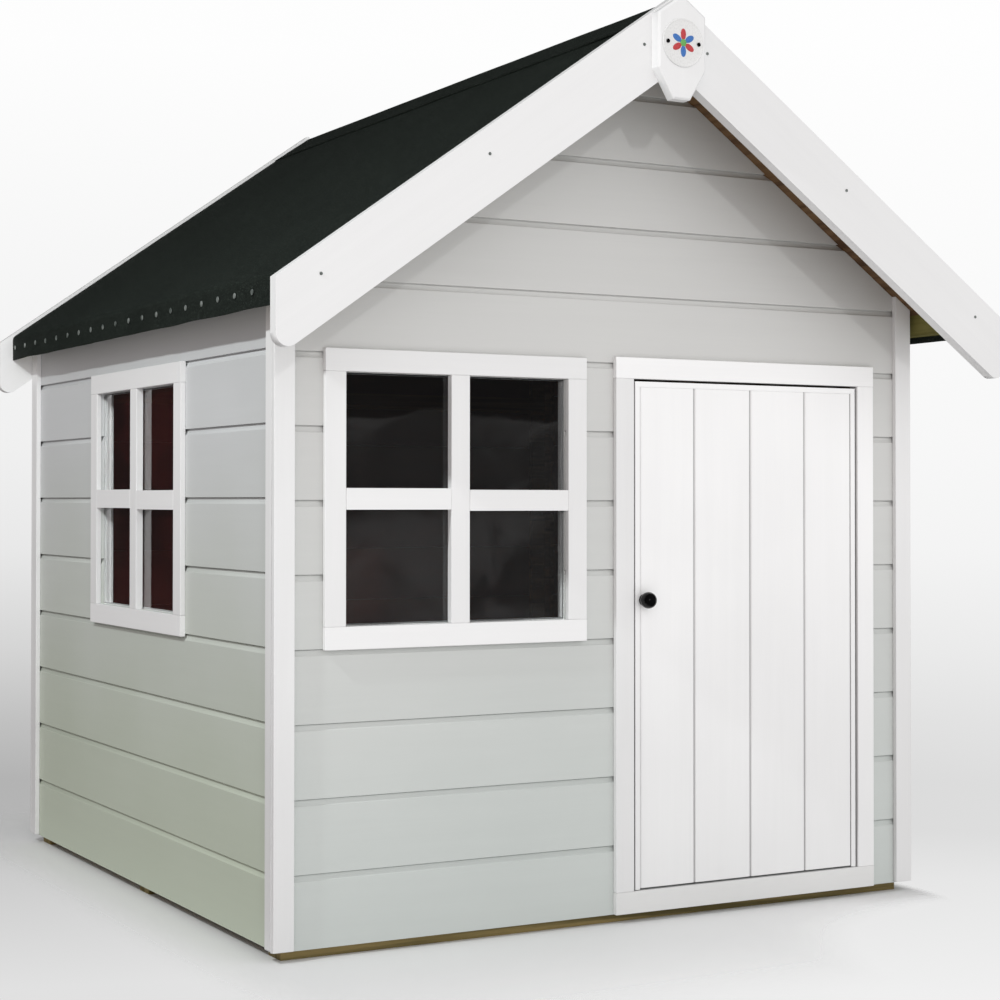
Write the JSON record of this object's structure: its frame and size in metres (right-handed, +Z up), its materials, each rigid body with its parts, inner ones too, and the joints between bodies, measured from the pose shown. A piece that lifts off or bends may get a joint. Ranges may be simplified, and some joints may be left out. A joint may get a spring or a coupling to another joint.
{
  "type": "timber playhouse",
  "caption": "Painted timber garden playhouse with shiplap walls, felted gable roof, cottage windows and a hinged boarded door a child can walk through.",
  "frame": {"origin": "on the ground, in the middle of the four walls' footprint", "axes": "+Z up, +X to the right along the front wall, -Y out of the front wall and its door"},
  "size_m": [1.363, 1.4228, 1.4755],
  "materials": {
    "wall_paint": "painted, satin",
    "trim_paint": "painted, satin",
    "bare_timber": "sawn softwood",
    "treated_timber": "pressure treated",
    "floor_timber": "planed softwood",
    "felt": "mineral roofing felt",
    "pane": "clear acrylic sheet",
    "zinc": "zinc plated",
    "black_plastic": "glossy",
    "badge": "printed, satin"
  },
  "bodies": {
    "house": {"floor_bearers": "treated_timber", "floor_boards": "floor_timber", "front_cladding": "wall_paint", "back_cladding": "wall_paint", "left_cladding": "wall_paint", "right_cladding": "wall_paint", "front_frame": "bare_timber", "back_frame": "bare_timber", "left_frame": "bare_timber", "right_frame": "bare_timber", "corner_trim_front_left": "trim_paint", "corner_trim_front_right": "trim_paint", "corner_trim_back_left": "trim_paint", "corner_trim_back_right": "trim_paint", "front_window_head": "trim_paint", "front_window_sill": "trim_paint", "front_window_stiles": "trim_paint", "front_window_muntin": "trim_paint", "front_window_crossbars": "trim_paint", "front_window_pane": "pane", "front_window_beads": "trim_paint", "side_window_head": "trim_paint", "side_window_sill": "trim_paint", "side_window_stiles": "trim_paint", "side_window_muntin": "trim_paint", "side_window_crossbars": "trim_paint", "side_window_pane": "pane", "side_window_beads": "trim_paint", "door_frame_head": "trim_paint", "door_frame_sill": "trim_paint", "door_frame_jamb_left": "trim_paint", "door_frame_jamb_right": "trim_paint", "hinge_frame_flaps": "zinc", "hinge_pins": "zinc", "hinge_frame_screws": "zinc", "roof_boards_left": "bare_timber", "roof_boards_right": "bare_timber", "roof_battens_left": "treated_timber", "roof_battens_right": "treated_timber", "roof_felt_left": "felt", "roof_felt_right": "felt", "roof_felt_ridge_cap": "felt", "bargeboard_front_left": "trim_paint", "bargeboard_front_right": "trim_paint", "bargeboard_back_left": "trim_paint", "bargeboard_back_right": "trim_paint", "clout_nails": "zinc", "bargeboard_screws": "zinc", "apex_plaque": "trim_paint", "apex_badge": "badge", "apex_badge_screws": "black_plastic"},
    "door": {"door_boards": "trim_paint", "door_lippings": "trim_paint", "door_ledges": "bare_timber", "door_knob_rose": "black_plastic", "door_knob": "black_plastic", "door_knob_bolt": "zinc", "hinge_door_flaps": "zinc", "hinge_door_screws": "zinc"}
  },
  "joints": [
    {"name": "door_hinge", "type": "hinge", "parent": "house", "child": "door", "pos_m": [0.4905, -0.5744, 0.4675], "axis": [0, 0, -1], "range_deg": [0, 95]}
  ]
}
